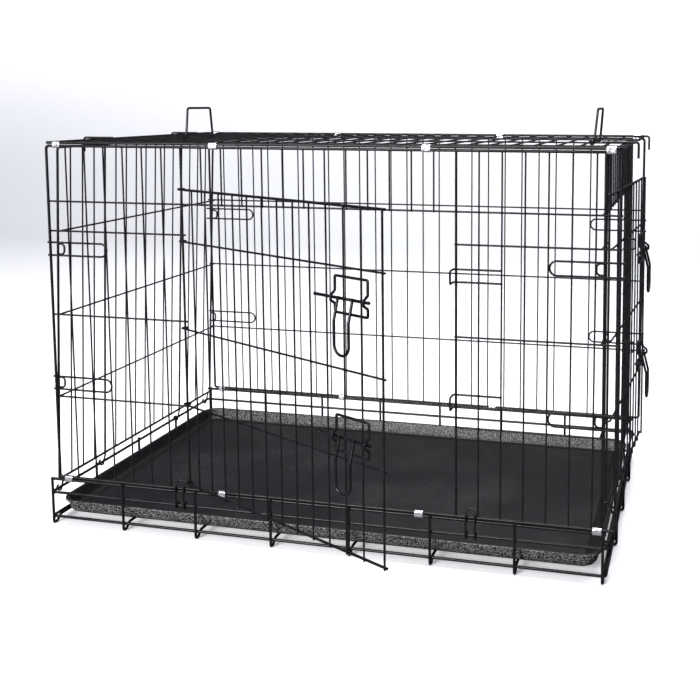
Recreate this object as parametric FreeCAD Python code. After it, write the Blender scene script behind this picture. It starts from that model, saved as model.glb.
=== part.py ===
import FreeCAD, Part
import math
import os

# Folding wire dog crate, in millimetres. Origin on the floor under the middle of the cage,
# +X along the length, -Y towards the front door, +Z up.
Vec = FreeCAD.Vector
Turn = FreeCAD.Rotation
Place = FreeCAD.Placement
UP = Vec(0, 0, 1)

# ---- driving dimensions ----
PITCH = 33.7  # spacing of the cage's upright wires
LENGTH = 27 * PITCH  # front and back panels, edge wire to edge wire
DEPTH = 552.0  # front panel plane to back panel plane
PANEL_BOTTOM = 81.0  # bottom wire of the front and back panels
PANEL_TOP = 628.0  # top wire of the front and back panels
ROOF_HEIGHT = 633.0  # wires of the top panel

# wire diameters
MESH_WIRE = 2.6
BAR_WIRE = 3.0
EDGE_WIRE = 3.6
FRAME_WIRE = 4.4
BASE_WIRE = 4.8
LOW_RAIL_WIRE = 4.6
LOOP_WIRE = 3.2
BOLT_WIRE = 4.4
GUIDE_WIRE = 3.8
HANDLE_WIRE = 4.0

WELD = 0.08  # how far crossing wires sink into each other where they are spot welded
BUTT = 0.1  # how far a long wire's end sinks into the wire that it is butt welded to
TOUCH = 0.02  # the same for a very short wire
PIVOT_GAP = 0.05  # room where a grip turns on its bolt
RUNNING_GAP = 0.4  # room between a moving wire and what it turns or slides on
CORNER = 5.0  # bend radius of the panel frames
BAR_END = 3.2  # panel bars run this far past the middle of the frame wire
TIGHT_BEND = 4.0  # bend radius of feet, catches and small loops

# panel bars, as heights above the floor
DOOR_HEAD = 539.0  # bar over a door opening
BARS = (491.0, 353.7, 216.6)
LOOP_HEIGHTS = (461.5, 239.5)
LOOP_RISE = 21.0  # leg to leg of a corner loop
LOOP_SPAN = 2.95 * PITCH
LOOP_TAIL = 7.0  # how far a loop's open ends stand past the panel's edge
LOOP_SLACK = 0.01  # leaves a sliver of straight wire between a loop's two bends

# doors
DOOR_BARS = (482.0, 344.0, 221.5)
DOOR_TOP = 563.0
FRONT_DOOR_BOTTOM = 91.5
SIDE_DOOR_BOTTOM = 95.0
DOOR_OVERLAP = 12.0  # the closed door laps this far over the far side of its opening
LATCH_HEIGHTS = (442.0, 254.0)
# each door's upright wires: first one from the hinge, how many, spacing
FRONT_DOOR_WIRES = (38.0, 12, 33.9)
SIDE_DOOR_WIRES = (35.0, 9, 33.3)
FRONT_DOOR_OPEN = 27.7  # degrees open as the crate stands
SIDE_DOOR_OPEN = 4.0
BOLT_LENGTH = 106.0
BOLT_SETBACK = 19.2  # bolt tip to the door's free edge when drawn back
BOLT_TRAVEL = 18.0

# base
BASE_LEFT = -472.0
BASE_RIGHT = 443.0
BASE_TOP = 76.1
BASE_MIDDLE = 53.0
BASE_FLOOR = 12.0
BASE_CORNER = 6.0
CROSS_WIRES = 8
FLOOR_WIRE_HEIGHT = 10.0
LONG_WIRE_Y = (-142.0, 0.0, 142.0)
CATCH_X = (-235.5, 242.2)
CATCH_KNEE = 86.5  # where a catch bends in over the front panel's bottom wire
CATCH_TOP = 92.5
CATCH_REACH = 9.2
CATCH_WIDTH = 14.0

# end panels
END_WIDTH = 536.0
END_STEPS = 16
END_BOTTOM = 73.0
END_TOP = 626.0
HOOK_STEPS = (0.3, 4, 12, 15.7)
LEFT_LEAN = 2.4  # degrees that the left end panel leans in as it stands
RIGHT_LEAN = 0.3
SIDE_OPENING = (2, 12)  # steps between which the side door opening lies
END_HOOK_RADIUS = LOW_RAIL_WIRE / 2 + RUNNING_GAP + BAR_WIRE / 2
SHANK_DROP = 0.14  # middle of a hook's slanted upper end below the wire that its edge is welded to
END_OFFSET = 8.2  # end panel in from the base rail that it hooks round
TAB_DEPTH = 11.0
TAB_RISE = 17.0
TAB_BEND = 6.0

# top handles, each as (upright step it turns on, middle of its length along Y,
# degrees that it leans towards +X as it stands)
HANDLE_SPOTS = {"left": (4, -26.0, 0.0), "right": (25, 18.0, 5.0)}
HANDLE_LENGTH = 98.0
HANDLE_TAPER = 7.0  # each leg leans in by this much
HANDLE_RISE = 54.0
HANDLE_KNEE = 8.0  # legs stand straight up this far before they lean in

# clips
BOTTOM_CLIP_X = (-438.1, -161.8, 161.6, 429.5)
TOP_CLIP_X = (-436.0, -163.5, 174.5, 441.0)
CLIP_LENGTH = 13.4
CLIP_THICKNESS = 0.9
CLIP_GAP = 0.05

# tray
TRAY_LEFT = -467.3
TRAY_RIGHT = 434.5
TRAY_DEPTH = 540.0
TRAY_BOTTOM = 12.5
TRAY_HEIGHT = 25.0
TRAY_WALL = 3.0
TRAY_LIP = 2.5
TRAY_CORNER = 30.0


# ---- wire work ----
def straight(start, end, diameter):
    """One straight length of wire."""
    run = end - start
    return Part.makeCylinder(diameter / 2, run.Length, start, run)


def round_bend(start, heading, centre, axis, degrees, diameter):
    """One round bend that begins at start, heading along heading, and turns about axis."""
    section = Part.Face(Part.Wire(Part.makeCircle(diameter / 2, start, heading)))
    return section.revolve(centre, axis, degrees)


def bent_wire(points, diameter, radius):
    """One wire bent at each inner point: straight runs and round bends that meet face to face."""
    lengths = []
    start = points[0]
    for before, corner, after in zip(points, points[1:], points[2:]):
        heading = (corner - before).normalize()
        leaving = (after - corner).normalize()
        turn = heading.getAngle(leaving)
        setback = radius * math.tan(turn / 2)
        bend_start = corner - heading * setback
        axis = heading.cross(leaving).normalize()
        centre = bend_start + axis.cross(heading) * radius
        lengths.append(straight(start, bend_start, diameter))
        lengths.append(round_bend(bend_start, heading, centre, axis, math.degrees(turn), diameter))
        start = corner + leaving * setback
    lengths.append(straight(start, points[-1], diameter))
    return lengths


def flat_ring(corners, diameter, radius):
    """A closed frame through four corners, joined in the middle of its first side."""
    joint = (corners[0] + corners[-1]) * 0.5
    return bent_wire([joint] + corners + [joint], diameter, radius)


def step_x(step):
    """Place of an upright wire along the front and back panels."""
    return step * PITCH - LENGTH / 2


def end_x(step):
    """Place of an upright wire across an end panel."""
    return step * END_WIDTH / END_STEPS - END_WIDTH / 2


def moved(solids, *placements):
    """Copies of the solids after each placement in turn."""
    out = []
    for solid in solids:
        copy = solid.copy()
        for placement in placements:
            copy.transformShape(placement.toMatrix(), True)
        out.append(copy)
    return out


def save(name, solids):
    """Write one node's solids to its own file."""
    Part.makeCompound(solids).exportStep("parts/" + name + ".step")


# Panels are drawn facing the viewer: x across, z up, y inwards, with the upright wires at y = 0.
BAR_Y = MESH_WIRE / 2 + BAR_WIRE / 2 - WELD
LOOP_Y = MESH_WIRE / 2 + LOOP_WIRE / 2 - WELD
FRONT = Place(Vec(0, -DEPTH / 2, 0), Turn(UP, 0))
BACK = Place(Vec(0, DEPTH / 2, 0), Turn(UP, 180))
LEFT = Place(Vec(BASE_LEFT + END_OFFSET, 0, 0), Turn(UP, -90))
RIGHT = Place(Vec(BASE_RIGHT - END_OFFSET, 0, 0), Turn(UP, 90))
FRAME_Y = DEPTH / 2 + (FRAME_WIRE - MESH_WIRE) / 2  # frames of the front and back panels


def upright(x, low, high, diameter=MESH_WIRE):
    """An upright wire; a thick one's inner side is flush with the thin ones'."""
    y = (MESH_WIRE - diameter) / 2
    return straight(Vec(x, y, low), Vec(x, y, high), diameter)


def panel_ring(half_width, bottom, top, diameter):
    """A panel's outer frame, its inner side flush with the thinner upright wires."""
    y = (MESH_WIRE - diameter) / 2
    corners = [
        Vec(-half_width, y, bottom),
        Vec(-half_width, y, top),
        Vec(half_width, y, top),
        Vec(half_width, y, bottom),
    ]
    return flat_ring(corners, diameter, CORNER)


def panel_bar(x_start, x_end, height):
    """A level bar welded across the inner side of the upright wires."""
    return straight(Vec(x_start, BAR_Y, height), Vec(x_end, BAR_Y, height), BAR_WIRE)


def corner_loops():
    """Four flat U loops that stiffen a long panel's edges, open ends standing past the edge."""
    solids = []
    round_end = LOOP_RISE / 2 - LOOP_SLACK
    edge = LENGTH / 2
    for side in (-1, 1):
        for height in LOOP_HEIGHTS:
            tail = side * (edge + LOOP_TAIL)
            closed = side * (edge - LOOP_SPAN)
            low = height - LOOP_RISE / 2
            high = height + LOOP_RISE / 2
            points = [Vec(tail, LOOP_Y, high), Vec(closed, LOOP_Y, high)]
            points += [Vec(closed, LOOP_Y, low), Vec(tail, LOOP_Y, low)]
            solids += bent_wire(points, LOOP_WIRE, round_end)
    return solids


# ---- front and back panels ----
OPENING = (7, 20)  # steps of the front door opening's two edge wires


def front_panel():
    """The front panel's wires, by node, with an opening for the door."""
    low = PANEL_BOTTOM + FRAME_WIRE / 2 - BUTT
    high = PANEL_TOP - FRAME_WIRE / 2 + BUTT
    uprights = []
    for step in range(1, 27):
        if step in OPENING:
            uprights.append(upright(step_x(step), low, high, EDGE_WIRE))
        elif OPENING[0] < step < OPENING[1]:
            uprights.append(upright(step_x(step), DOOR_HEAD - BAR_WIRE / 2, high))
        else:
            uprights.append(upright(step_x(step), low, high))
    left, right = (step_x(step) for step in OPENING)
    end = LENGTH / 2 + BAR_END
    bars = [panel_bar(-end, end, DOOR_HEAD)]
    for height in BARS:
        bars.append(panel_bar(-end, left + BAR_END, height))
        bars.append(panel_bar(right - BAR_END, end, height))
    return {
        "front_frame": panel_ring(LENGTH / 2, PANEL_BOTTOM, PANEL_TOP, FRAME_WIRE),
        "front_uprights": uprights,
        "front_bars": bars,
        "front_corner_loops": corner_loops(),
        "front_door_keepers": keepers(right, 2 * PITCH),
    }


def back_panel():
    """The back panel's wires, by node."""
    end = LENGTH / 2 + BAR_END
    low = PANEL_BOTTOM + FRAME_WIRE / 2 - BUTT
    high = PANEL_TOP - FRAME_WIRE / 2 + BUTT
    return {
        "back_frame": panel_ring(LENGTH / 2, PANEL_BOTTOM, PANEL_TOP, FRAME_WIRE),
        "back_uprights": [upright(step_x(step), low, high) for step in range(1, 27)],
        "back_bars": [panel_bar(-end, end, height) for height in BARS],
        "back_corner_loops": corner_loops(),
    }


# ---- doors, drawn closed on the outside of their panel, their hinge wire at y = 0 ----
HINGE_WIRE = Place(Vec(0, (MESH_WIRE - EDGE_WIRE) / 2, 0), Turn(UP, 0))
BOLT_ROOM = 1.9  # between a bolt and the door wires behind it
SADDLE_SLACK = 1.5  # between a bolt and the saddles outside it
DOOR_ROOM = 0.5  # between the hinge wire and the closed door's frame
KEEPER_ROOM = 0.6  # between a keeper's nose and the bolt behind it
FRAME_OUT = EDGE_WIRE / 2 + DOOR_ROOM + HANDLE_WIRE / 2  # door frame's wire out from the panel
DOOR_UPRIGHT_OUT = FRAME_OUT + HANDLE_WIRE / 2 + MESH_WIRE / 2 - WELD
DOOR_BAR_OUT = DOOR_UPRIGHT_OUT - MESH_WIRE / 2 - BAR_WIRE / 2 + WELD
DOOR_EDGE_OUT = FRAME_OUT + HANDLE_WIRE / 2 + LOOP_WIRE / 2 - WELD
GUIDE_OUT = DOOR_UPRIGHT_OUT + MESH_WIRE / 2 + GUIDE_WIRE / 2 - WELD
BOLT_OUT = DOOR_UPRIGHT_OUT + MESH_WIRE / 2 + BOLT_ROOM + BOLT_WIRE / 2
KEEPER_OUT = BOLT_OUT + BOLT_WIRE / 2 + KEEPER_ROOM + LOOP_WIRE / 2
SADDLE_OUT = BOLT_OUT + BOLT_WIRE / 2 + SADDLE_SLACK + GUIDE_WIRE / 2
GRIP_OUT = BOLT_OUT + BOLT_WIRE / 2 + HANDLE_WIRE / 2 + PIVOT_GAP

KEEPER_RISE = 19.0
KEEPER_LIFT = 3.0  # middle of a keeper above its bolt
KEEPER_REACH = 5.0  # keeper's closed end past the opening's edge wire
GUIDE_WIDTH = 62.5
GUIDE_ABOVE = 28.8
GUIDE_BELOW = 20.0
GUIDE_SETBACK = 5.0  # drawn bolt's tip past the guide's free side
GUIDE_BEND = 2.5
SADDLE_HALF = 9.0
GRIP_WIDTH = 28.0
GRIP_DROP = 73.0
GRIP_FLARE = 7.0
GRIP_INSET = 12.2  # grip's near leg from the guide's hinge side
GRIP_HEAD = 3.4  # legs' ends above the bolt's middle
GRIP_KNEE = 28.0  # legs slope outwards down to this far under the bolt
GRIP_BEND = 13.9
DOOR_WIRE_END = 1.6  # door wires run this far past the wires that they cross


def keepers(edge_x, length):
    """Wire loops behind the opening's far edge; each closed end stands out for the bolt."""
    nose_y = HINGE_WIRE.Base.y - KEEPER_OUT
    solids = []
    for height in LATCH_HEIGHTS:
        tail = edge_x + length
        nose = edge_x - KEEPER_REACH
        low = height + KEEPER_LIFT - KEEPER_RISE / 2
        high = height + KEEPER_LIFT + KEEPER_RISE / 2
        points = [
            Vec(tail, LOOP_Y, high),
            Vec(nose, LOOP_Y, high),
            Vec(nose, nose_y, high),
            Vec(nose, nose_y, low),
            Vec(nose, LOOP_Y, low),
            Vec(tail, LOOP_Y, low),
        ]
        solids += bent_wire(points, LOOP_WIRE, TIGHT_BEND)
    return solids


def door(name, hinge_x, far_x, bottom, first, steps, pitch):
    """A door that hangs on its opening's near edge wire and laps over the far one."""
    free_x = far_x + DOOR_OVERLAP
    out = -FRAME_OUT
    tip_x = free_x + DOOR_WIRE_END
    foot = bottom - DOOR_WIRE_END
    head = DOOR_TOP + DOOR_WIRE_END
    edge_start = Vec(free_x, -DOOR_EDGE_OUT, foot)
    frame_solids = [straight(edge_start, Vec(free_x, -DOOR_EDGE_OUT, head), LOOP_WIRE)]
    for height in (DOOR_TOP, bottom):
        frame_solids.append(straight(Vec(hinge_x, out, height), Vec(tip_x, out, height), HANDLE_WIRE))
        frame_solids.append(hinge_curl(hinge_x, height, FRAME_OUT, HANDLE_WIRE))
    bars = []
    for height in DOOR_BARS:
        bar_start = Vec(hinge_x, -DOOR_BAR_OUT, height)
        bar_end = Vec(tip_x, -DOOR_BAR_OUT, height)
        bars.append(straight(bar_start, bar_end, BAR_WIRE))
        bars.append(hinge_curl(hinge_x, height, DOOR_BAR_OUT, BAR_WIRE))
    uprights = []
    for step in range(steps):
        x = hinge_x + first + step * pitch
        start = Vec(x, -DOOR_UPRIGHT_OUT, foot)
        uprights.append(straight(start, Vec(x, -DOOR_UPRIGHT_OUT, head), MESH_WIRE))
    groups = {
        name + "_frame": frame_solids,
        name + "_bars": bars,
        name + "_uprights": uprights,
        name + "_bolt_guides": [],
    }
    tip = free_x - BOLT_SETBACK
    for place, height in zip(("upper", "lower"), LATCH_HEIGHTS):
        groups[name + "_bolt_guides"] += bolt_guide(tip, height)
        groups[name + "_bolt_" + place] = [
            straight(Vec(tip - BOLT_LENGTH, -BOLT_OUT, height), Vec(tip, -BOLT_OUT, height), BOLT_WIRE)
        ]
        groups[name + "_grip_" + place] = bolt_grip(tip, height)
    return groups


def hinge_curl(hinge_x, height, radius, diameter):
    """The end of a door bar curled round the hinge wire, three quarters of a turn."""
    start = Vec(hinge_x, -radius, height)
    return round_bend(start, Vec(-1, 0, 0), Vec(hinge_x, 0, height), Vec(0, 0, -1), 270, diameter)


def guide_span(tip):
    """Left and right sides of a bolt guide, which ends just short of the drawn bolt's tip."""
    right = tip - GUIDE_SETBACK
    return right - GUIDE_WIDTH, right


def bolt_guide(tip, height):
    """A closed wire loop on the door, with a saddle in each side that holds the bolt."""
    left, right = guide_span(tip)
    top = height + GUIDE_ABOVE
    low = height - GUIDE_BELOW
    middle = (left + right) / 2
    points = [Vec(middle, -GUIDE_OUT, top)]
    for x, heights in ((right, (top, low)), (left, (low, top))):
        falling = 1 if heights[0] > heights[1] else -1
        points.append(Vec(x, -GUIDE_OUT, heights[0]))
        points.append(Vec(x, -GUIDE_OUT, height + falling * SADDLE_HALF))
        points.append(Vec(x, -SADDLE_OUT, height + falling * SADDLE_HALF / 3))
        points.append(Vec(x, -SADDLE_OUT, height - falling * SADDLE_HALF / 3))
        points.append(Vec(x, -GUIDE_OUT, height - falling * SADDLE_HALF))
        points.append(Vec(x, -GUIDE_OUT, heights[1]))
    points.append(points[0])
    return bent_wire(points, GUIDE_WIRE, GUIDE_BEND)


def bolt_grip(tip, height):
    """A long U loop welded to the outside of the bolt, which hangs down over the guide."""
    left = guide_span(tip)[0] + GRIP_INSET
    right = left + GRIP_WIDTH
    top = height + GRIP_HEAD
    knee = height - GRIP_KNEE
    bottom = height - GRIP_DROP
    flared = -GRIP_OUT - GRIP_FLARE
    points = [
        Vec(left, -GRIP_OUT, top),
        Vec(left, -GRIP_OUT, height),
        Vec(left, flared, knee),
        Vec(left, flared, bottom),
        Vec(right, flared, bottom),
        Vec(right, flared, knee),
        Vec(right, -GRIP_OUT, height),
        Vec(right, -GRIP_OUT, top),
    ]
    return bent_wire(points, HANDLE_WIRE, GRIP_BEND)


# ---- end panels, drawn upright over their hinge rail ----
def end_panel(name, opening=None):
    """An end panel's wires, by node, with an opening between two upright steps if given."""
    half = END_WIDTH / 2
    end = half + BAR_END
    low = END_BOTTOM + HANDLE_WIRE / 2 - BUTT
    high = END_TOP - HANDLE_WIRE / 2 + BUTT
    uprights = []
    for step in range(1, END_STEPS):
        x = end_x(step)
        bold = step in HOOK_STEPS or (opening and step in opening)
        diameter = EDGE_WIRE if bold else MESH_WIRE
        if opening and opening[0] < step < opening[1]:
            uprights.append(upright(x, DOOR_HEAD - BAR_WIRE / 2, high))
        else:
            uprights.append(upright(x, low, high, diameter))
    bars = []
    for height in BARS:
        if opening:
            bars.append(panel_bar(-end, end_x(opening[0]) + BAR_END, height))
            bars.append(panel_bar(end_x(opening[1]) - BAR_END, end, height))
        else:
            bars.append(panel_bar(-end, end, height))
    if opening:
        bars.append(panel_bar(-end, end, DOOR_HEAD))
    return {
        name + "_frame": panel_ring(half, END_BOTTOM, END_TOP, HANDLE_WIRE),
        name + "_uprights": uprights,
        name + "_bars": bars,
        name + "_hooks": end_hooks(),
        name + "_lock_tabs": lock_tabs(),
    }


def end_hooks():
    """Wires that slope down from the panel and curl round the base's middle rail."""
    solids = []
    for step in HOOK_STEPS:
        x = end_x(step)
        shank_top = Vec(x, 0, END_BOTTOM - HANDLE_WIRE / 2 - SHANK_DROP)
        rail = Vec(x, -END_OFFSET, BASE_MIDDLE)
        to_rail = rail - shank_top
        miss = math.asin(END_HOOK_RADIUS / to_rail.Length)
        heading = Turn(Vec(1, 0, 0), math.degrees(miss)).multVec(to_rail).normalize()
        shank_end = shank_top + heading * to_rail.Length * math.cos(miss)
        solids.append(straight(shank_top, shank_end, BAR_WIRE))
        solids.append(round_bend(shank_end, heading, rail, Vec(-1, 0, 0), 240, BAR_WIRE))
    return solids


def lock_tabs():
    """D loops on the panel's side wires, level with the long panels' corner loops."""
    solids = []
    for side in (-1, 1):
        x = side * END_WIDTH / 2
        start = MESH_WIRE / 2 - TOUCH
        for height in LOOP_HEIGHTS:
            points = [
                Vec(x, start, height + TAB_RISE / 2),
                Vec(x, TAB_DEPTH, height + TAB_RISE / 2),
                Vec(x, TAB_DEPTH, height - TAB_RISE / 2),
                Vec(x, start, height - TAB_RISE / 2),
            ]
            solids += bent_wire(points, LOOP_WIRE, TAB_BEND)
    return solids


# ---- top panel ----
TOP_HOOK_Y = 150.0
TOP_HOOK_RUN = 1.2 * PITCH  # along the top, inwards from the end wire
TOP_HOOK_REACH = 15.0  # past the end wire
TOP_HOOK_DROP = 24.0


def top_panel():
    """The top panel's wires, by node."""
    half_x = LENGTH / 2
    half_y = FRAME_Y
    corners = [
        Vec(-half_x, -half_y, ROOF_HEIGHT),
        Vec(-half_x, half_y, ROOF_HEIGHT),
        Vec(half_x, half_y, ROOF_HEIGHT),
        Vec(half_x, -half_y, ROOF_HEIGHT),
    ]
    reach = half_y - FRAME_WIRE / 2 + BUTT
    crossing = []
    for step in range(1, 27):
        x = step_x(step)
        crossing.append(straight(Vec(x, -reach, ROOF_HEIGHT), Vec(x, reach, ROOF_HEIGHT), MESH_WIRE))
    long_height = ROOF_HEIGHT - BAR_Y
    long_wires = []
    for quarter in (-1, 0, 1):
        y = quarter * DEPTH / 4
        long_wires.append(straight(Vec(-half_x, y, long_height), Vec(half_x, y, long_height), BAR_WIRE))
    hooks = []
    for side in (-1, 1):
        for y in (-TOP_HOOK_Y, TOP_HOOK_Y):
            inner = side * (half_x - TOP_HOOK_RUN)
            outer = side * (half_x + TOP_HOOK_REACH)
            height = ROOF_HEIGHT + FRAME_WIRE / 2 + EDGE_WIRE / 2 - WELD
            points = [
                Vec(inner, y, height),
                Vec(outer, y, height),
                Vec(outer, y, height - TOP_HOOK_DROP),
            ]
            hooks += bent_wire(points, EDGE_WIRE, TIGHT_BEND)
    return {
        "top_frame": flat_ring(corners, FRAME_WIRE, CORNER),
        "top_cross_wires": crossing,
        "top_long_wires": long_wires,
        "top_end_hooks": hooks,
    }


def top_handle(step, middle, lean):
    """A wire bail whose two eyes turn on one cross wire of the top panel."""
    x = step_x(step)
    radius = MESH_WIRE / 2 + RUNNING_GAP + HANDLE_WIRE / 2
    leg_x = x + radius
    near = middle - HANDLE_LENGTH / 2
    far = middle + HANDLE_LENGTH / 2
    points = [
        Vec(leg_x, near, ROOF_HEIGHT),
        Vec(leg_x, near, ROOF_HEIGHT + HANDLE_KNEE),
        Vec(leg_x, near + HANDLE_TAPER, ROOF_HEIGHT + HANDLE_RISE),
        Vec(leg_x, far - HANDLE_TAPER, ROOF_HEIGHT + HANDLE_RISE),
        Vec(leg_x, far, ROOF_HEIGHT + HANDLE_KNEE),
        Vec(leg_x, far, ROOF_HEIGHT),
    ]
    solids = bent_wire(points, HANDLE_WIRE, CORNER)
    for y in (near, far):
        foot = Vec(leg_x, y, ROOF_HEIGHT)
        pivot = Vec(x, y, ROOF_HEIGHT)
        solids.append(round_bend(foot, -UP, pivot, Vec(0, 1, 0), 250, HANDLE_WIRE))
    return moved(solids, about(Vec(x, 0, ROOF_HEIGHT), Vec(0, 1, 0), lean))


# ---- base ----
def base_ring(height, diameter):
    """One closed rail of the base."""
    half_y = FRAME_Y
    corners = [
        Vec(BASE_LEFT, -half_y, height),
        Vec(BASE_LEFT, half_y, height),
        Vec(BASE_RIGHT, half_y, height),
        Vec(BASE_RIGHT, -half_y, height),
    ]
    return flat_ring(corners, diameter, BASE_CORNER)


POST_OUT = BASE_WIRE / 2 + FRAME_WIRE / 2 - WELD  # posts stand just outside the rails
FOOT_RUN = 8.5
FOOT_SLOPE = 10.0


def floor_wire(start, end, run_height, rail_height):
    """One wire under the tray: down a post, through a foot, across, and up the far post."""
    heading = (end - start).normalize()
    foot_height = Vec(0, 0, FRAME_WIRE / 2)
    post_top = Vec(0, 0, rail_height + FRAME_WIRE / 2)
    run_lift = Vec(0, 0, run_height)
    points = [
        start + post_top,
        start + foot_height,
        start + heading * FOOT_RUN + foot_height,
        start + heading * (FOOT_RUN + FOOT_SLOPE) + run_lift,
        end - heading * (FOOT_RUN + FOOT_SLOPE) + run_lift,
        end - heading * FOOT_RUN + foot_height,
        end + foot_height,
        end + post_top,
    ]
    return bent_wire(points, FRAME_WIRE, TIGHT_BEND)


def base():
    """The base's rails and the wires under the tray, by node."""
    cross = []
    inset = FRAME_WIRE
    spacing = (BASE_RIGHT - BASE_LEFT - 2 * inset) / (CROSS_WIRES - 1)
    post_y = FRAME_Y + POST_OUT
    for wire in range(CROSS_WIRES):
        x = BASE_LEFT + inset + wire * spacing
        cross += floor_wire(Vec(x, -post_y, 0), Vec(x, post_y, 0), FLOOR_WIRE_HEIGHT, BASE_TOP)
    long_wires = []
    under = FLOOR_WIRE_HEIGHT - FRAME_WIRE + WELD
    for y in LONG_WIRE_Y:
        left = Vec(BASE_LEFT - POST_OUT, y, 0)
        right = Vec(BASE_RIGHT + POST_OUT, y, 0)
        long_wires += floor_wire(left, right, under, BASE_MIDDLE)
    top_rail = []
    for y in (-FRAME_Y, FRAME_Y):
        top_rail.append(straight(Vec(BASE_LEFT, y, BASE_TOP), Vec(BASE_RIGHT, y, BASE_TOP), BASE_WIRE))
    return {
        "base_top_rail": top_rail,
        "base_middle_rail": base_ring(BASE_MIDDLE, LOW_RAIL_WIRE),
        "base_floor_rail": base_ring(BASE_FLOOR, LOW_RAIL_WIRE),
        "base_cross_wires": cross,
        "base_long_wires": long_wires,
    }


def base_catch(middle):
    """A bail hinged on the base's middle rail that bends in over the front panel's bottom wire."""
    radius = LOW_RAIL_WIRE / 2 + 2 * RUNNING_GAP + LOOP_WIRE / 2
    rail_y = -FRAME_Y
    front = rail_y - radius
    half = CATCH_WIDTH / 2
    points = [
        Vec(middle - half, front, BASE_MIDDLE),
        Vec(middle - half, front, CATCH_KNEE),
        Vec(middle - half, front + CATCH_REACH, CATCH_TOP),
        Vec(middle + half, front + CATCH_REACH, CATCH_TOP),
        Vec(middle + half, front, CATCH_KNEE),
        Vec(middle + half, front, BASE_MIDDLE),
    ]
    solids = bent_wire(points, LOOP_WIRE, TIGHT_BEND)
    for x in (middle - half, middle + half):
        start = Vec(x, front, BASE_MIDDLE)
        rail = Vec(x, rail_y, BASE_MIDDLE)
        solids.append(round_bend(start, Vec(0, 0, -1), rail, Vec(1, 0, 0), 270, LOOP_WIRE))
    return solids


# ---- clips ----
def clips(places, y, low_wire, low_height, high_height):
    """Metal sleeves rolled round two wires that lie one above the other."""
    solids = []
    hole_radius = low_wire / 2 + CLIP_GAP
    outer_radius = hole_radius + CLIP_THICKNESS
    for x in places:
        start = x - CLIP_LENGTH / 2
        sleeve = sleeve_blank(start, y, low_height, high_height, outer_radius)
        solids.append(sleeve.cut(sleeve_blank(start, y, low_height, high_height, hole_radius)))
    return solids


def sleeve_blank(start, y, low_height, high_height, radius):
    """A bar along X with flat sides and round top and bottom."""
    top_left = Vec(start, y - radius, high_height)
    top_right = Vec(start, y + radius, high_height)
    low_right = Vec(start, y + radius, low_height)
    low_left = Vec(start, y - radius, low_height)
    edges = [
        Part.Arc(top_left, Vec(start, y, high_height + radius), top_right).toShape(),
        Part.makeLine(top_right, low_right),
        Part.Arc(low_right, Vec(start, y, low_height - radius), low_left).toShape(),
        Part.makeLine(low_left, top_left),
    ]
    return Part.Face(Part.Wire(edges)).extrude(Vec(CLIP_LENGTH, 0, 0))


# ---- tray ----
def rounded_block(left, right, half_depth, low, height, corner):
    """A block, centred across Y, with its four upright edges rounded."""
    block = Part.makeBox(right - left, 2 * half_depth, height, Vec(left, -half_depth, low))
    corners = [edge for edge in block.Edges if abs(edge.Length - height) < 0.01]
    return block.makeFillet(corner, corners)


def tray():
    """A low moulded pan with a lip that stands out round its rim."""
    half = TRAY_DEPTH / 2
    lip_low = TRAY_BOTTOM + TRAY_HEIGHT - TRAY_WALL
    inset = TRAY_LIP
    left, right = TRAY_LEFT + inset, TRAY_RIGHT - inset
    pan = rounded_block(left, right, half - inset, TRAY_BOTTOM, TRAY_HEIGHT, TRAY_CORNER)
    lip = rounded_block(TRAY_LEFT, TRAY_RIGHT, half, lip_low, TRAY_WALL, TRAY_CORNER + inset)
    wall = inset + TRAY_WALL
    left, right = TRAY_LEFT + wall, TRAY_RIGHT - wall
    floor = TRAY_BOTTOM + TRAY_WALL
    hollow = rounded_block(left, right, half - wall, floor, TRAY_HEIGHT, TRAY_CORNER - TRAY_WALL)
    return [pan.fuse(lip).cut(hollow).removeSplitter()]


# ---- assembly ----
def about(point, axis, degrees):
    """A turn about a line through point."""
    return Place(Vec(0, 0, 0), Turn(axis, degrees), point)


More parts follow.
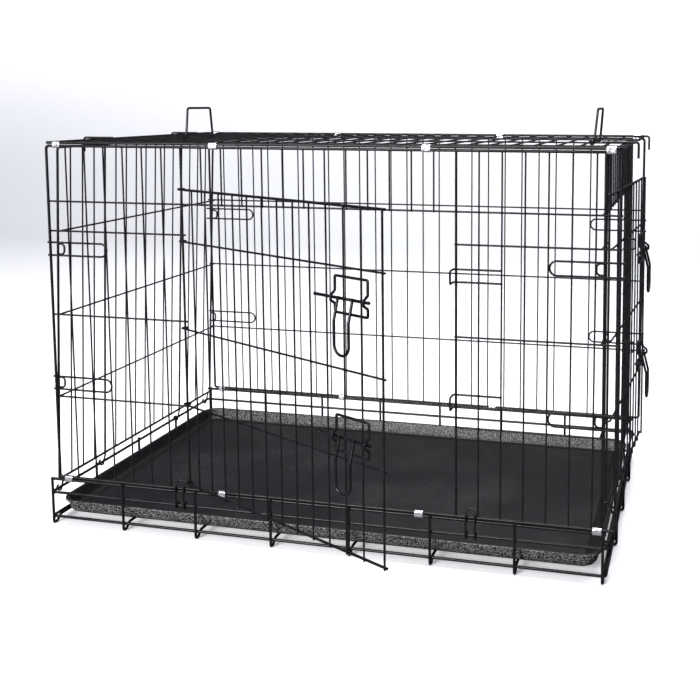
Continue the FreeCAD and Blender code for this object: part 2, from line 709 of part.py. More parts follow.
def build_nodes():
    """Every node's solids where they stand on the crate at rest."""
    nodes = {}
    for name, solids in front_panel().items():
        nodes[name] = moved(solids, FRONT)
    for name, solids in back_panel().items():
        nodes[name] = moved(solids, BACK)
    nodes.update(top_panel())
    nodes.update(base())
    nodes["tray"] = tray()
    for side, middle in zip(("left", "right"), CATCH_X):
        nodes["base_catch_" + side] = base_catch(middle)
    for side, spot in HANDLE_SPOTS.items():
        nodes["top_handle_" + side] = top_handle(*spot)

    for edge, y in (("front", -FRAME_Y), ("back", FRAME_Y)):
        bottom = clips(BOTTOM_CLIP_X, y, BASE_WIRE, BASE_TOP, PANEL_BOTTOM)
        top = clips(TOP_CLIP_X, y, FRAME_WIRE, PANEL_TOP, ROOF_HEIGHT)
        nodes["clips_" + edge + "_bottom"] = bottom
        nodes["clips_" + edge + "_top"] = top

    hinge, far = (step_x(step) for step in OPENING)
    front_swing = about(Vec(hinge, 0, 0), UP, -FRONT_DOOR_OPEN)
    front_door = door("front_door", hinge, far, FRONT_DOOR_BOTTOM, *FRONT_DOOR_WIRES)
    for name, solids in front_door.items():
        nodes[name] = moved(solids, front_swing, HINGE_WIRE, FRONT)

    rail = Vec(0, -END_OFFSET, BASE_MIDDLE)
    left_lean = about(rail, Vec(1, 0, 0), -LEFT_LEAN)
    right_lean = about(rail, Vec(1, 0, 0), -RIGHT_LEAN)
    for name, solids in end_panel("left_end").items():
        nodes[name] = moved(solids, left_lean, LEFT)
    for name, solids in end_panel("right_end", SIDE_OPENING).items():
        nodes[name] = moved(solids, right_lean, RIGHT)
    side_step = END_WIDTH / END_STEPS
    hinge, far = (end_x(step) for step in SIDE_OPENING)
    nodes["side_door_keepers"] = moved(keepers(far, 2 * side_step), right_lean, RIGHT)
    side_swing = about(Vec(hinge, 0, 0), UP, -SIDE_DOOR_OPEN)
    side_door = door("side_door", hinge, far, SIDE_DOOR_BOTTOM, *SIDE_DOOR_WIRES)
    for name, solids in side_door.items():
        nodes[name] = moved(solids, side_swing, HINGE_WIRE, right_lean, RIGHT)
    return nodes


os.makedirs("parts", exist_ok=True)
for node_name, node_solids in build_nodes().items():
    save(node_name, node_solids)
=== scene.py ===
import math

import bmesh
import bpy
import numpy as np
from mathutils import Matrix, Vector


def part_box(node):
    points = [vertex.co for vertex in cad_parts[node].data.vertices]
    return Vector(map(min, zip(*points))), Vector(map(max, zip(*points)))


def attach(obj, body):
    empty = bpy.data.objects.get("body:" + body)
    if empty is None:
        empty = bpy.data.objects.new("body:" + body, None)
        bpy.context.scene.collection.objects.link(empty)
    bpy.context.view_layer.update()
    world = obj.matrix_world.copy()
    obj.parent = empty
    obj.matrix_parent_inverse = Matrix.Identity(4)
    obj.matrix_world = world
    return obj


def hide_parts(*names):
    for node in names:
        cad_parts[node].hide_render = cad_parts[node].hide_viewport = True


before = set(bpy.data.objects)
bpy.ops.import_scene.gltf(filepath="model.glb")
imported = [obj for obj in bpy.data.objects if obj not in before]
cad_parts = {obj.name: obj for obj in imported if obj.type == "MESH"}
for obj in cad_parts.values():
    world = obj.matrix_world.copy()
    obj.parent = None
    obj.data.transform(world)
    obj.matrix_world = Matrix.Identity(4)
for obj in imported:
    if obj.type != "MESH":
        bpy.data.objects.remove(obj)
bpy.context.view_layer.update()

MM = 0.001


# ---- viewpoint ----
# The crate stands on a seamless sweep and is seen from a pace and a half in front of its open
# door, from a little above the roof, looking slightly to the left.
viewer = bpy.data.cameras.new("viewer")
viewer.sensor_width = 36
viewer.lens = 52.4
viewer.shift_x = -0.14
viewer.shift_y = -0.188
viewer.clip_start = 0.05
viewer.clip_end = 60
tripod = bpy.data.objects.new("tripod", viewer)
tripod.location = (0.5633, -1.7029, 0.6955)
tripod.rotation_euler = (math.radians(90 - 6.45), 0, math.radians(14.03))
bpy.context.scene.collection.objects.link(tripod)
bpy.context.scene.camera = tripod


# ---- base rails and the wires under the tray ----
# Rails of thick mild steel wire, one above the other: two closed rings and a top rail at front
# and back, spot welded to lighter wires bent down into feet, all dipped in black baked enamel.
def shader_group(name, inputs, outputs):
    """An empty shader group with named sockets, and its input and output nodes."""
    group = bpy.data.node_groups.new(name, "ShaderNodeTree")
    for label, kind, value in inputs:
        socket = group.interface.new_socket(label, in_out="INPUT", socket_type="NodeSocket" + kind)
        if kind != "Vector":
            socket.default_value = value
    for label, kind in outputs:
        group.interface.new_socket(label, in_out="OUTPUT", socket_type="NodeSocket" + kind)
    return group, group.nodes.new("NodeGroupInput"), group.nodes.new("NodeGroupOutput")


def node(tree, kind, links=(), **settings):
    """A shader node with its settings, and its inputs linked or set by name or number."""
    made = tree.nodes.new("ShaderNode" + kind)
    for key, value in settings.items():
        setattr(made, key, value)
    for key, source in dict(links).items():
        if isinstance(source, bpy.types.NodeSocket):
            tree.links.new(source, made.inputs[key])
        else:
            made.inputs[key].default_value = source
    return made


def fade(tree, value, low, high, start=0.0, end=1.0):
    """The value turned into a smooth ramp from start to end between low and high."""
    links = {"Value": value, "From Min": low, "From Max": high, "To Min": start, "To Max": end}
    return node(tree, "MapRange", links, interpolation_type="SMOOTHSTEP").outputs["Result"]


def times(tree, a, b):
    return node(tree, "Math", {0: a, 1: b}, operation="MULTIPLY").outputs[0]


def blend_colour(tree, amount, first, second):
    links = {"Factor": amount, "A": first, "B": second}
    return node(tree, "Mix", links, data_type="RGBA").outputs["Result"]


def enamel_skin_group():
    """Baked enamel: slight orange peel, and pooled and thin patches."""
    sockets = [("Peel Size", "Float", 0.9), ("Deep Tone", "Color", (0, 0, 0, 1)),
               ("Thin Tone", "Color", (0, 0, 0, 1)), ("Shine", "Float", 0.3)]
    outs = [("Colour", "Color"), ("Roughness", "Float"), ("Height", "Float")]
    group, given, result = shader_group("enamel_skin", sockets, outs)
    place = node(group, "TexCoord").outputs["Object"]
    scale = node(group, "Math", {0: 1000.0, 1: given.outputs["Peel Size"]}, operation="DIVIDE")
    peel = node(group, "TexNoise", {"Vector": place, "Scale": scale.outputs[0], "Detail": 3.0})
    pools = node(group, "TexNoise", {"Vector": place, "Scale": 46.0, "Detail": 4.0, "Roughness": 0.62})
    pooled = fade(group, pools.outputs["Fac"], 0.38, 0.66)
    colour = blend_colour(group, pooled, given.outputs["Deep Tone"], given.outputs["Thin Tone"])
    spread = fade(group, peel.outputs["Fac"], 0.2, 0.8, -0.05, 0.09)
    patchy = node(group, "Math", {0: times(group, pooled, 0.1), 1: spread}, operation="ADD")
    rough = node(group, "Math", {0: patchy.outputs[0], 1: given.outputs["Shine"]}, operation="ADD")
    group.links.new(colour, result.inputs["Colour"])
    group.links.new(rough.outputs[0], result.inputs["Roughness"])
    group.links.new(peel.outputs["Fac"], result.inputs["Height"])
    return group


def settled_dust_group():
    """Fine pale dust that lies thicker on whatever faces up, in uneven drifts."""
    sockets = [("Amount", "Float", 0.3), ("Drift Size", "Float", 30.0)]
    group, given, result = shader_group("settled_dust", sockets, [("Mask", "Float")])
    place = node(group, "TexCoord").outputs["Object"]
    facing = node(group, "SeparateXYZ", {0: node(group, "NewGeometry").outputs["Normal"]})
    upward = fade(group, facing.outputs["Z"], -0.1, 1.0, 0.05, 1.0)
    scale = node(group, "Math", {0: 1000.0, 1: given.outputs["Drift Size"]}, operation="DIVIDE")
    drifts = node(group, "TexNoise", {"Vector": place, "Scale": scale.outputs[0], "Detail": 6.0})
    specks = node(group, "TexNoise", {"Vector": place, "Scale": 1400.0, "Detail": 1.0})
    uneven = times(group, fade(group, drifts.outputs["Fac"], 0.35, 0.7), upward)
    broken = times(group, uneven, fade(group, specks.outputs["Fac"], 0.42, 0.6, 0.35, 1.0))
    group.links.new(times(group, broken, given.outputs["Amount"]), result.inputs["Mask"])
    return group


def rubbed_through_group():
    """Small chips and rub marks where bare steel shows."""
    sockets = [("Amount", "Float", 0.1), ("Chip Size", "Float", 4.0)]
    group, given, result = shader_group("rubbed_through", sockets, [("Mask", "Float")])
    place = node(group, "TexCoord").outputs["Object"]
    scale = node(group, "Math", {0: 1000.0, 1: given.outputs["Chip Size"]}, operation="DIVIDE")
    chips = node(group, "TexNoise", {"Vector": place, "Scale": scale.outputs[0], "Detail": 5.0,
                                     "Roughness": 0.7, "Distortion": 0.6})
    wider = times(group, given.outputs["Amount"], 0.42)
    limit = node(group, "Math", {0: 0.8, 1: wider}, operation="SUBTRACT")
    above = node(group, "Math", {0: limit.outputs[0], 1: 0.03}, operation="ADD")
    bare = fade(group, chips.outputs["Fac"], limit.outputs[0], above.outputs[0])
    group.links.new(bare, result.inputs["Mask"])
    return group


enamel_skin = enamel_skin_group()
settled_dust = settled_dust_group()
rubbed_through = rubbed_through_group()


def placed(tree, group, **values):
    """A shader group placed in a material with its own values."""
    made = tree.nodes.new("ShaderNodeGroup")
    made.node_tree = group
    for label, value in values.items():
        made.inputs[label.replace("_", " ")].default_value = value
    return made


def black_enamel(name, shine=0.3, dust=0.3, wear=0.05, peel=0.9, chip=4.0, bump=0.25):
    """Black baked enamel over bright steel wire."""
    material = bpy.data.materials.new(name)
    material.use_nodes = True
    tree = material.node_tree
    skin = placed(tree, enamel_skin, Peel_Size=peel, Shine=shine,
                  Deep_Tone=(0.0022, 0.0022, 0.0026, 1), Thin_Tone=(0.006, 0.006, 0.007, 1))
    chips = placed(tree, rubbed_through, Amount=wear, Chip_Size=chip).outputs["Mask"]
    dusty = placed(tree, settled_dust, Amount=dust, Drift_Size=28.0).outputs["Mask"]
    steel = blend_colour(tree, chips, skin.outputs["Colour"], (0.3, 0.29, 0.28, 1))
    colour = blend_colour(tree, dusty, steel, (0.05, 0.048, 0.046, 1))
    rough = node(tree, "Mix", {"Factor": dusty, "A": skin.outputs["Roughness"], "B": 0.7}).outputs["Result"]
    sunk = times(tree, chips, 0.6)
    level = node(tree, "Math", {0: skin.outputs["Height"], 1: sunk}, operation="SUBTRACT")
    relief = node(tree, "Bump", {"Height": level.outputs[0], "Strength": bump, "Distance": 0.12 * MM})
    paint = tree.nodes["Principled BSDF"]
    paint.inputs["Specular IOR Level"].default_value = 0.3
    tree.links.new(colour, paint.inputs["Base Color"])
    tree.links.new(rough, paint.inputs["Roughness"])
    tree.links.new(times(tree, chips, 0.9), paint.inputs["Metallic"])
    tree.links.new(relief.outputs["Normal"], paint.inputs["Normal"])
    return material


def coat(material, *names):
    """Give CAD nodes this finish."""
    for name in names:
        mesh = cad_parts[name].data
        mesh.materials.clear()
        mesh.materials.append(material)


def runs(name):
    """Every straight run of wire in a CAD node: middle, direction, half length and radius."""
    found = []
    for island in islands(name, 6 * MM):
        middle = island.mean(axis=0)
        low, high = island.min(axis=0), island.max(axis=0)
        spread = np.linalg.eigh(np.cov((island - middle).T))[1][:, 2]
        along = (island - middle) @ spread
        middle = middle + spread * (along.min() + along.max()) / 2
        along = (island - middle) @ spread
        across = np.linalg.norm(island - middle - np.outer(along, spread), axis=1)
        straight = across.max() < 3.2 * MM and across.max() < 1.25 * np.median(across)
        if straight and along.max() > 1.5 * across.max():
            found.append((Vector(middle), Vector(spread).normalized(), along.max(), across.max()))
    return found


def islands(name, shortest=0.0):
    """The corner points of each part of a CAD node that hangs together by edges this long."""
    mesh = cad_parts[name].data
    points = np.empty(len(mesh.vertices) * 3)
    mesh.vertices.foreach_get("co", points)
    points = points.reshape(-1, 3)
    keys, same = np.unique(np.round(points, 7), axis=0, return_inverse=True)
    same = same.reshape(-1)
    edges = np.empty(len(mesh.edges) * 2, dtype=int)
    mesh.edges.foreach_get("vertices", edges)
    edges = same[edges].reshape(-1, 2)
    edges = edges[np.linalg.norm(keys[edges[:, 0]] - keys[edges[:, 1]], axis=1) >= shortest]
    label = np.arange(len(keys))
    while True:
        low = np.minimum(label[edges[:, 0]], label[edges[:, 1]])
        before = label.copy()
        np.minimum.at(label, edges[:, 0], low)
        np.minimum.at(label, edges[:, 1], low)
        label = label[label]
        if (label == before).all():
            break
    names, sizes = np.unique(label, return_counts=True)
    return [keys[label == one] for one in names[sizes > 3]]


def nearest(first, second):
    """Nearest points of two straight runs."""
    (p, u, a, _), (q, v, b, _) = first, second
    slant = u.dot(v)
    gap = q - p
    if abs(slant) > 0.7:
        return None
    s = (gap.dot(u) - slant * gap.dot(v)) / (1 - slant * slant)
    s = max(-a, min(a, s))
    t = max(-b, min(b, (p + u * s - q).dot(v)))
    s = max(-a, min(a, (q + v * t - p).dot(u)))
    return p + u * s, q + v * t, a - abs(s)


def weld_spots(thin_nodes, thick_nodes):
    """Where the runs of two groups of nodes touch: place, axes and bead half sizes."""
    spots = []
    thick_runs = [run for name in thick_nodes for run in runs(name)]
    for thin in [run for name in thin_nodes for run in runs(name)]:
        for thick in thick_runs:
            near = nearest(thin, thick)
            if near is None:
                continue
            here, there, to_end = near
            apart = there - here
            if apart.length > thin[3] + thick[3] + 0.3 * MM:
                continue
            if to_end < thick[3] and abs(apart.normalized().dot(thin[1])) > 0.8:
                away = (here - there).normalized()
                collar = (thin[3] * 1.28, thin[3] * 1.28, thin[3] * 0.85)
                spots.append((there + away * thick[3], away, thick[1], collar))
            elif apart.length > 0.4 * (thin[3] + thick[3]):
                out = apart.normalized()
                bead = (thin[3] * 1.2, thick[3] * 1.2, thin[3] * 0.62)
                spots.append((here + out * thin[3], out, thick[1], bead))
    return spots


def weld_beads(name, body, spots, material):
    """One small squashed bead of weld metal under the enamel at every spot."""
    shape = bmesh.new()
    for place, out, along, sizes in spots:
        across = out.cross(along).normalized()
        turn = Matrix((across, out.cross(across), out)).transposed().to_4x4()
        sizes = (sizes[1], sizes[0], sizes[2])
        scale = Matrix.Diagonal((*sizes, 1))
        bmesh.ops.create_uvsphere(shape, u_segments=8, v_segments=5, radius=1,
                                  matrix=Matrix.Translation(place) @ turn @ scale)
    return finished(name, body, shape, material)


def finished(name, body, shape, material, smooth=True):
    """A finished piece from a bmesh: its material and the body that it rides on."""
    mesh = bpy.data.meshes.new(name)
    shape.normal_update()
    shape.to_mesh(mesh)
    shape.free()
    for face in mesh.polygons:
        face.use_smooth = smooth
    mesh.materials.append(material)
    piece = bpy.data.objects.new(name, mesh)
    bpy.context.scene.collection.objects.link(piece)
    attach(piece, body)
    return piece


rail_enamel = black_enamel("rail_enamel", shine=0.26, dust=0.42, wear=0.12, peel=1.1)
foot_enamel = black_enamel("foot_enamel", shine=0.3, dust=0.34, wear=0.2, chip=3.0)
coat(rail_enamel, "base_top_rail", "base_middle_rail", "base_floor_rail")
coat(foot_enamel, "base_cross_wires", "base_long_wires")
base_spots = weld_spots(["base_cross_wires", "base_long_wires"],
                        ["base_top_rail", "base_middle_rail", "base_floor_rail"])
base_spots += weld_spots(["base_long_wires"], ["base_cross_wires"])
weld_beads("base_welds", "crate", base_spots, rail_enamel)

coat(black_enamel("catch_enamel", shine=0.28, wear=0.28, chip=2.2),
     "base_catch_left", "base_catch_right")


# ---- tray ----
# A black plastic pan, vacuum formed from one grained sheet: drafted walls, a rim that turns
# over, coved corners inside and a shallow moat round a floor that is raised a little.
def moulded_grain_group():
    """Leather-like pebbled grain pressed into plastic sheet, its tips on the long walls lightened as
    painted highlight, a few elsewhere lightened by wear.
    """
    sockets = [("Pebble Size", "Float", 1.6), ("Tone", "Color", (0, 0, 0, 1)),
               ("Worn Tone", "Color", (0, 0, 0, 1))]
    outs = [("Colour", "Color"), ("Roughness", "Float"), ("Height", "Float")]
    group, given, result = shader_group("moulded_grain", sockets, outs)
    place = node(group, "TexCoord").outputs["Object"]
    scale = node(group, "Math", {0: 1000.0, 1: given.outputs["Pebble Size"]}, operation="DIVIDE").outputs[0]
    pebbles = node(group, "TexVoronoi", {"Vector": place, "Scale": scale}, feature="SMOOTH_F1")
    fine = node(group, "TexNoise", {"Vector": place, "Scale": times(group, scale, 1.7), "Detail": 3.0})
    worn = node(group, "TexNoise", {"Vector": place, "Scale": 7.0, "Detail": 5.0, "Roughness": 0.6})
    height = node(group, "Math", {0: pebbles.outputs["Distance"], 1: fine.outputs["Fac"]},
                  operation="SUBTRACT")
    rubbed = fade(group, worn.outputs["Fac"], 0.42, 0.72)
    facing = node(group, "SeparateXYZ", {0: node(group, "NewGeometry").outputs["Normal"]})
    # Painted highlight: grain tips on walls facing front and back are painted light, as if catching the
    # front lamp; worn patches lighten a few other tips a little.
    lit_long_wall = node(group, "Math", {0: facing.outputs["Y"]}, operation="ABSOLUTE").outputs[0]
    stretched = node(group, "Math", {0: fade(group, lit_long_wall, 0.35, 0.85), 1: times(group, rubbed, 0.12)},
                     operation="MAXIMUM")
    lit_and_worn_tips = times(group, stretched.outputs[0], fade(group, height.outputs[0], -0.32, 0.02, 1.0, 0.0))
    colour = blend_colour(group, lit_and_worn_tips, given.outputs["Tone"], given.outputs["Worn Tone"])
    group.links.new(colour, result.inputs["Colour"])
    group.links.new(fade(group, worn.outputs["Fac"], 0.3, 0.75, 0.36, 0.5), result.inputs["Roughness"])
    group.links.new(height.outputs[0], result.inputs["Height"])
    return group


def tray_plastic():
    material = bpy.data.materials.new("grained_plastic")
    material.use_nodes = True
    tree = material.node_tree
    # The light tip tone is mostly painted highlight on the long walls' grain, and partly real wear.
    grain = placed(tree, moulded_grain_group(), Pebble_Size=1.9,
                   Tone=(0.0095, 0.0095, 0.0105, 1), Worn_Tone=(0.24, 0.24, 0.235, 1))
    dusty = placed(tree, settled_dust, Amount=0.14, Drift_Size=120.0).outputs["Mask"]
    colour = blend_colour(tree, dusty, grain.outputs["Colour"], (0.04, 0.041, 0.046, 1))
    # Painted shade: the moat round the raised floor, below about 17 mm, is painted near black to stand in
    # for the shade at the foot of the walls, and is made matt there.
    level = node(tree, "SeparateXYZ", {0: node(tree, "TexCoord").outputs["Object"]}).outputs["Z"]
    painted_moat_shade = fade(tree, level, 16.2 * MM, 17.1 * MM, 1.0, 0.0)
    colour = blend_colour(tree, times(tree, painted_moat_shade, 0.85), colour, (0.002, 0.002, 0.0024, 1))
    matt = node(tree, "Math", {0: dusty, 1: painted_moat_shade}, operation="MAXIMUM").outputs[0]
    rough = node(tree, "Mix", {"Factor": matt, "A": grain.outputs["Roughness"], "B": 0.85})
    relief = node(tree, "Bump", {"Height": grain.outputs["Height"], "Strength": 0.9, "Distance": 0.35 * MM})
    plastic = tree.nodes["Principled BSDF"]
    plastic.inputs["Specular IOR Level"].default_value = 0.26
    tree.links.new(colour, plastic.inputs["Base Color"])
    tree.links.new(rough.outputs["Result"], plastic.inputs["Roughness"])
    tree.links.new(relief.outputs["Normal"], plastic.inputs["Normal"])
    return material


def formed_tray():
    """The sheet follows its section inwards from the rim's outer edge: (inset, height) in mm."""
    low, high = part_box("tray")
    section = [(0.0, 33.6), (0.0, 36.1), (0.4, 37.1), (1.4, 37.5), (4.2, 37.5), (5.2, 37.1), (5.7, 36.1),
               (8.6, 24.0), (9.8, 20.6), (12.2, 17.6), (15.4, 15.9), (18.0, 15.3), (24.0, 15.3),
               (25.5, 15.7), (27.0, 16.7), (29.0, 17.1)]
    size = high - low
    middle = (low + high) / 2
    shape = bmesh.new()
    outline = Matrix.Translation((middle.x, middle.y, section[0][1] * MM))
    outline = outline @ Matrix.Diagonal((size.x, size.y, 1, 1))
    bmesh.ops.create_grid(shape, x_segments=1, y_segments=1, size=0.5, matrix=outline)
    bmesh.ops.bevel(shape, geom=shape.verts[:], offset=32.0 * MM, affect="VERTICES", segments=12,
                    profile=0.5, material=-1)
    sheet = next(iter(shape.faces))
    for (inset, height), (next_inset, next_height) in zip(section, section[1:]):
        rise = (next_height - height) * MM
        if next_inset > inset:
            bmesh.ops.inset_region(shape, faces=[sheet], thickness=(next_inset - inset) * MM,
                                   use_even_offset=True)
            bmesh.ops.translate(shape, verts=sheet.verts[:], vec=(0, 0, rise))
        else:
            side = bmesh.ops.extrude_face_region(shape, geom=[sheet])["geom"]
            lifted = [item for item in side if isinstance(item, bmesh.types.BMVert)]
            bmesh.ops.translate(shape, verts=lifted, vec=(0, 0, rise))
            bmesh.ops.delete(shape, geom=[sheet], context="FACES_ONLY")
            sheet = next(item for item in side if isinstance(item, bmesh.types.BMFace))
    bmesh.ops.recalc_face_normals(shape, faces=shape.faces[:])
    return shape


tray_shape = formed_tray()
pan = finished("tray_pan", "tray", tray_shape, tray_plastic())
wall = pan.modifiers.new("sheet", "SOLIDIFY")
wall.thickness = 2.4 * MM
wall.offset = -1
rounding = pan.modifiers.new("soft_edges", "BEVEL")
rounding.width = 0.5 * MM
rounding.segments = 2
rounding.limit_method = "ANGLE"
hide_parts("tray")


# ---- front panel ----
# A closed frame with thin upright wires welded inside it and level bars welded behind them.
# Four U loops stiffen its edges, and two more beside the opening take the door's bolts.
panel_enamel = black_enamel("panel_enamel", shine=0.29, dust=0.24, wear=0.05)
loop_enamel = black_enamel("loop_enamel", shine=0.26, dust=0.22, wear=0.12, chip=2.6)
coat(panel_enamel, "front_frame", "front_uprights", "front_bars")
coat(loop_enamel, "front_corner_loops", "front_door_keepers")
weld_beads("front_welds", "crate",
           weld_spots(["front_uprights"], ["front_frame", "front_bars", "front_corner_loops",
                                           "front_door_keepers"])
           + weld_spots(["front_bars"], ["front_frame"]), panel_enamel)


# ---- back panel ----
# The same weldment as the front panel, without an opening.
coat(panel_enamel, "back_frame", "back_uprights", "back_bars")
coat(loop_enamel, "back_corner_loops")
weld_beads("back_welds", "crate",
           weld_spots(["back_uprights"], ["back_frame", "back_bars", "back_corner_loops"])
           + weld_spots(["back_bars"], ["back_frame"]), panel_enamel)


# ---- top panel ----
# A frame with wires across it and three long wires welded under them. It gathers more dust.
roof_enamel = black_enamel("roof_enamel", shine=0.3, dust=0.5, wear=0.07)
coat(roof_enamel, "top_frame", "top_cross_wires", "top_long_wires", "top_end_hooks")
weld_beads("top_welds", "crate",
           weld_spots(["top_cross_wires"], ["top_frame", "top_long_wires"])
           + weld_spots(["top_long_wires"], ["top_frame"])
           + weld_spots(["top_end_hooks"], ["top_frame", "top_cross_wires"]), roof_enamel)


# ---- carrying handles ----
# Two bails of thicker wire, hooked round a roof wire. Hands have polished the enamel.
coat(black_enamel("handle_enamel", shine=0.2, dust=0.15, wear=0.18, chip=5.0),
     "top_handle_left", "top_handle_right")


# ---- left and right end panels ----
# Loose weldments that hook round the base's middle rail and fold inwards. The right one has an
# opening for the side door, with two keepers beside it.
end_enamel = black_enamel("end_enamel", shine=0.3, dust=0.24, wear=0.06)
for end in ("left_end", "right_end"):
    coat(end_enamel, end + "_frame", end + "_uprights", end + "_bars")
    coat(loop_enamel, end + "_hooks", end + "_lock_tabs")
    thick = [end + "_frame", end + "_bars"]
    if end == "right_end":
        coat(loop_enamel, "side_door_keepers")
        thick.append("side_door_keepers")
    weld_beads(end + "_welds", end,
               weld_spots([end + "_uprights"], thick)
               + weld_spots([end + "_bars", end + "_hooks", end + "_lock_tabs"], [end + "_frame"]),
               end_enamel)


# ---- doors ----
# Each door is welded from straight wires: thick ones at head and foot and three inner bars, all
# curled round the edge wire of the opening. It carries two loops that guide the latch bolts.
door_enamel = black_enamel("door_enamel", shine=0.27, dust=0.2, wear=0.08)
for door in ("front_door", "side_door"):
    coat(door_enamel, door + "_frame", door + "_bars", door + "_uprights")
    coat(loop_enamel, door + "_bolt_guides")
    weld_beads(door + "_welds", door,
               weld_spots([door + "_uprights"], [door + "_frame", door + "_bars", door + "_bolt_guides"])
               + weld_spots([door + "_bars"], [door + "_frame"]), door_enamel)


# ---- latches ----
# A straight bolt slides in its guide, and a long U grip welded to it hangs down for the hand.
# Sliding has rubbed the enamel off the bolts in streaks.
bolt_enamel = black_enamel("bolt_enamel", shine=0.22, dust=0.1, wear=0.42, chip=6.0)
grip_enamel = black_enamel("grip_enamel", shine=0.2, dust=0.12, wear=0.2, chip=4.0)
for door in ("front_door", "side_door"):
    for spot in ("upper", "lower"):
        coat(bolt_enamel, door + "_bolt_" + spot)
        coat(grip_enamel, door + "_grip_" + spot)


# ---- clips ----
# Sleeves of bright zinc-plated steel strip, rolled round a wire of each panel and squeezed in
# the middle, so the panels hinge on each other. The strip's edges meet on the inside.
def zinc_spangle_group():
    """Plated steel: cloudy crystals, fine rolling lines and dull fingerprints."""
    sockets = [("Bright", "Color", (1, 1, 1, 1)), ("Dull", "Color", (1, 1, 1, 1))]
    outs = [("Colour", "Color"), ("Roughness", "Float"), ("Height", "Float")]
    group, given, result = shader_group("zinc_spangle", sockets, outs)
    place = node(group, "TexCoord").outputs["Object"]
    crystals = node(group, "TexVoronoi", {"Vector": place, "Scale": 520.0})
    stretched = node(group, "Mapping", {"Vector": place, "Scale": (60.0, 2600.0, 2600.0)}).outputs[0]
    lines = node(group, "TexNoise", {"Vector": stretched, "Scale": 1.0, "Detail": 2.0})
    clouds = node(group, "TexNoise", {"Vector": place, "Scale": 190.0, "Detail": 4.0})
    tint = fade(group, clouds.outputs["Fac"], 0.35, 0.7)
    shade = node(group, "SeparateColor", {0: crystals.outputs["Color"]}).outputs[0]
    mixed = node(group, "Math", {0: times(group, shade, 0.35), 1: times(group, tint, 0.65)},
                 operation="ADD")
    colour = blend_colour(group, mixed.outputs[0], given.outputs["Bright"], given.outputs["Dull"])
    group.links.new(colour, result.inputs["Colour"])
    group.links.new(fade(group, mixed.outputs[0], 0.1, 0.9, 0.2, 0.42), result.inputs["Roughness"])
    group.links.new(lines.outputs["Fac"], result.inputs["Height"])
    return group


def zinc_plate():
    material = bpy.data.materials.new("zinc_plate")
    material.use_nodes = True
    tree = material.node_tree
    plate = placed(tree, zinc_spangle_group(), Bright=(0.86, 0.87, 0.88, 1), Dull=(0.56, 0.57, 0.58, 1))
    relief = node(tree, "Bump", {"Height": plate.outputs["Height"], "Strength": 0.2, "Distance": 0.06 * MM})
    metal = tree.nodes["Principled BSDF"]
    metal.inputs["Metallic"].default_value = 1.0
    tree.links.new(plate.outputs["Colour"], metal.inputs["Base Color"])
    tree.links.new(plate.outputs["Roughness"], metal.inputs["Roughness"])
    tree.links.new(relief.outputs["Normal"], metal.inputs["Normal"])
    return material


def rolled_clip(shape, low, high, inside):
    """One sleeve in the box from low to high, its seam on the side that inside points to."""
    sheet = 0.8 * MM
    radius = (high.y - low.y) / 2
    y = (low.y + high.y) / 2
    seam = 0.35 * MM
    before = set(shape.verts)
    start = shape.verts.new((low.x, y + inside * radius, (low.z + high.z) / 2 + seam))
    turn = (-inside, 0, 0)
    edge = [start]

    def run_to(z):
        made = bmesh.ops.extrude_vert_indiv(shape, verts=[edge[-1]])["verts"]
        made[0].co.z = z
        edge.append(made[0])

    def roll(z):
        made = bmesh.ops.spin(shape, geom=[edge[-1]], cent=(low.x, y, z), axis=turn,
                              angle=-math.pi, steps=8)["geom_last"]
        edge.append(next(item for item in made if isinstance(item, bmesh.types.BMVert)))

    run_to(high.z - radius)
    roll(high.z - radius)
    run_to((low.z + high.z) / 2)
    run_to(low.z + radius)
    roll(low.z + radius)
    run_to((low.z + high.z) / 2 - seam)
    bmesh.ops.remove_doubles(shape, verts=[v for v in shape.verts if v not in before], dist=1e-6)
    outline = [e for e in shape.edges if not e.link_faces and e.verts[0] not in before]
    steps = 8
    length = high.x - low.x
    for step in range(steps):
        made = bmesh.ops.extrude_edge_only(shape, edges=outline)["geom"]
        outline = [item for item in made if isinstance(item, bmesh.types.BMEdge)]
        moved = [item for item in made if isinstance(item, bmesh.types.BMVert)]
        bmesh.ops.translate(shape, verts=moved, vec=(length / steps, 0, 0))
    for vert in shape.verts:
        if vert not in before:
            across = (vert.co.x - low.x) / length * 2 - 1
            level = (vert.co.z - (low.z + high.z) / 2) / (0.5 * (high.z - low.z))
            squeeze = math.exp(-(across / 0.36) ** 2) * math.exp(-(level / 0.36) ** 2)
            vert.co.y -= (vert.co.y - y) * 0.2 * squeeze
    return sheet


def clip_row(name):
    shape = bmesh.new()
    low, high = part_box(name)
    inside = 1 if (low.y + high.y) < 0 else -1
    for island in islands(name):
        sheet = rolled_clip(shape, Vector(island.min(axis=0)), Vector(island.max(axis=0)), inside)
    bmesh.ops.recalc_face_normals(shape, faces=shape.faces[:])
    piece = finished("rolled_" + name, "crate", shape, zinc)
    strip = piece.modifiers.new("strip", "SOLIDIFY")
    strip.thickness = sheet
    strip.offset = -1
    edges = piece.modifiers.new("sheared_edges", "BEVEL")
    edges.width = 0.18 * MM
    edges.segments = 2
    edges.limit_method = "ANGLE"
    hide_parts(name)


zinc = zinc_plate()
for row in ("clips_front_bottom", "clips_front_top", "clips_back_bottom", "clips_back_top"):
    clip_row(row)


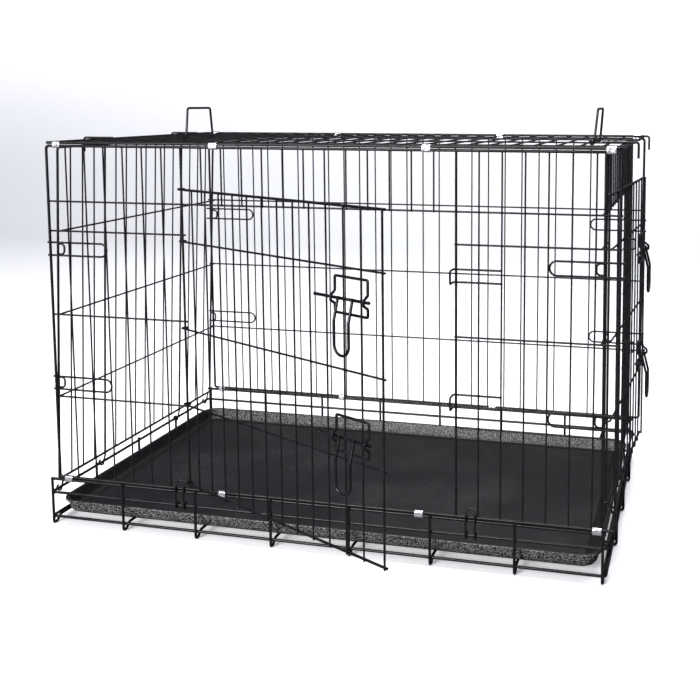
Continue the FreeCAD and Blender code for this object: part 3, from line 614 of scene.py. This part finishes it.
# ---- studio ----
# A pale seamless sweep under two large soft lights and a bright room.
def sweep():
    shape = bmesh.new()
    width, front, back, top = 9.0, -5.0, 4.5, 5.0
    bend = 1.6
    start = shape.verts.new((-width, front, 0))
    made = bmesh.ops.extrude_vert_indiv(shape, verts=[start])["verts"][0]
    made.co.y = back - bend
    bent = bmesh.ops.spin(shape, geom=[made], cent=(-width, back - bend, bend), axis=(1, 0, 0),
                          angle=math.pi / 2, steps=16)["geom_last"]
    last = next(item for item in bent if isinstance(item, bmesh.types.BMVert))
    end = bmesh.ops.extrude_vert_indiv(shape, verts=[last])["verts"][0]
    end.co.z = top
    bmesh.ops.remove_doubles(shape, verts=shape.verts[:], dist=1e-5)
    made = bmesh.ops.extrude_edge_only(shape, edges=shape.edges[:])["geom"]
    bmesh.ops.translate(shape, verts=[item for item in made if isinstance(item, bmesh.types.BMVert)],
                        vec=(2 * width, 0, 0))
    bmesh.ops.recalc_face_normals(shape, faces=shape.faces[:])
    mesh = bpy.data.meshes.new("sweep")
    shape.to_mesh(mesh)
    shape.free()
    for face in mesh.polygons:
        face.use_smooth = True
    floor = bpy.data.objects.new("sweep", mesh)
    bpy.context.scene.collection.objects.link(floor)
    paper = bpy.data.materials.new("backdrop_paper")
    paper.use_nodes = True
    sheet = paper.node_tree.nodes["Principled BSDF"]
    tree = paper.node_tree
    seen = node(tree, "LightPath").outputs["Is Camera Ray"]
    place = node(tree, "TexCoord").outputs["Object"]
    fibres = node(tree, "TexNoise", {"Vector": place, "Scale": 3.0, "Detail": 4.0}).outputs["Fac"]
    white = blend_colour(tree, fibres, (0.86, 0.872, 0.89, 1), (0.9, 0.905, 0.91, 1))
    seen_white = blend_colour(tree, seen, (0.2, 0.2, 0.21, 1), white)
    tree.links.new(seen_white, sheet.inputs["Base Color"])
    height = node(tree, "SeparateXYZ", {0: place}).outputs["Z"]
    glow = fade(tree, height, 0.1, 1.6, 0.3, 0.8)
    tree.links.new(times(tree, seen, glow), sheet.inputs["Emission Strength"])
    sheet.inputs["Emission Color"].default_value = (1, 1, 1, 1)
    sheet.inputs["Roughness"].default_value = 0.85
    mesh.materials.append(paper)


def softbox(name, place, aim, width, height, power):
    lamp = bpy.data.lights.new(name, "AREA")
    lamp.shape = "RECTANGLE"
    lamp.size = width
    lamp.size_y = height
    lamp.energy = power
    holder = bpy.data.objects.new(name, lamp)
    holder.location = place
    holder.rotation_euler = (Vector(aim) - Vector(place)).to_track_quat("-Z", "Y").to_euler()
    bpy.context.scene.collection.objects.link(holder)


sweep()
softbox("front_softbox", (-1.2, -3.6, 1.5), (0, 0, 0.2), 1.6, 1.0, 190)
softbox("overhead_softbox", (0.4, 0.6, 3.8), (0, 0, 0), 2.6, 2.6, 170)
room = bpy.data.worlds.new("room")
room.use_nodes = True
backdrop = room.node_tree.nodes["Background"]
backdrop.inputs["Strength"].default_value = 1.0
seen = node(room.node_tree, "LightPath").outputs["Is Camera Ray"]
room.node_tree.links.new(blend_colour(room.node_tree, seen, (0.17, 0.18, 0.25, 1), (1, 1, 1, 1)),
                         backdrop.inputs["Color"])
bpy.context.scene.world = room
bpy.context.scene.view_settings.view_transform = "Standard"
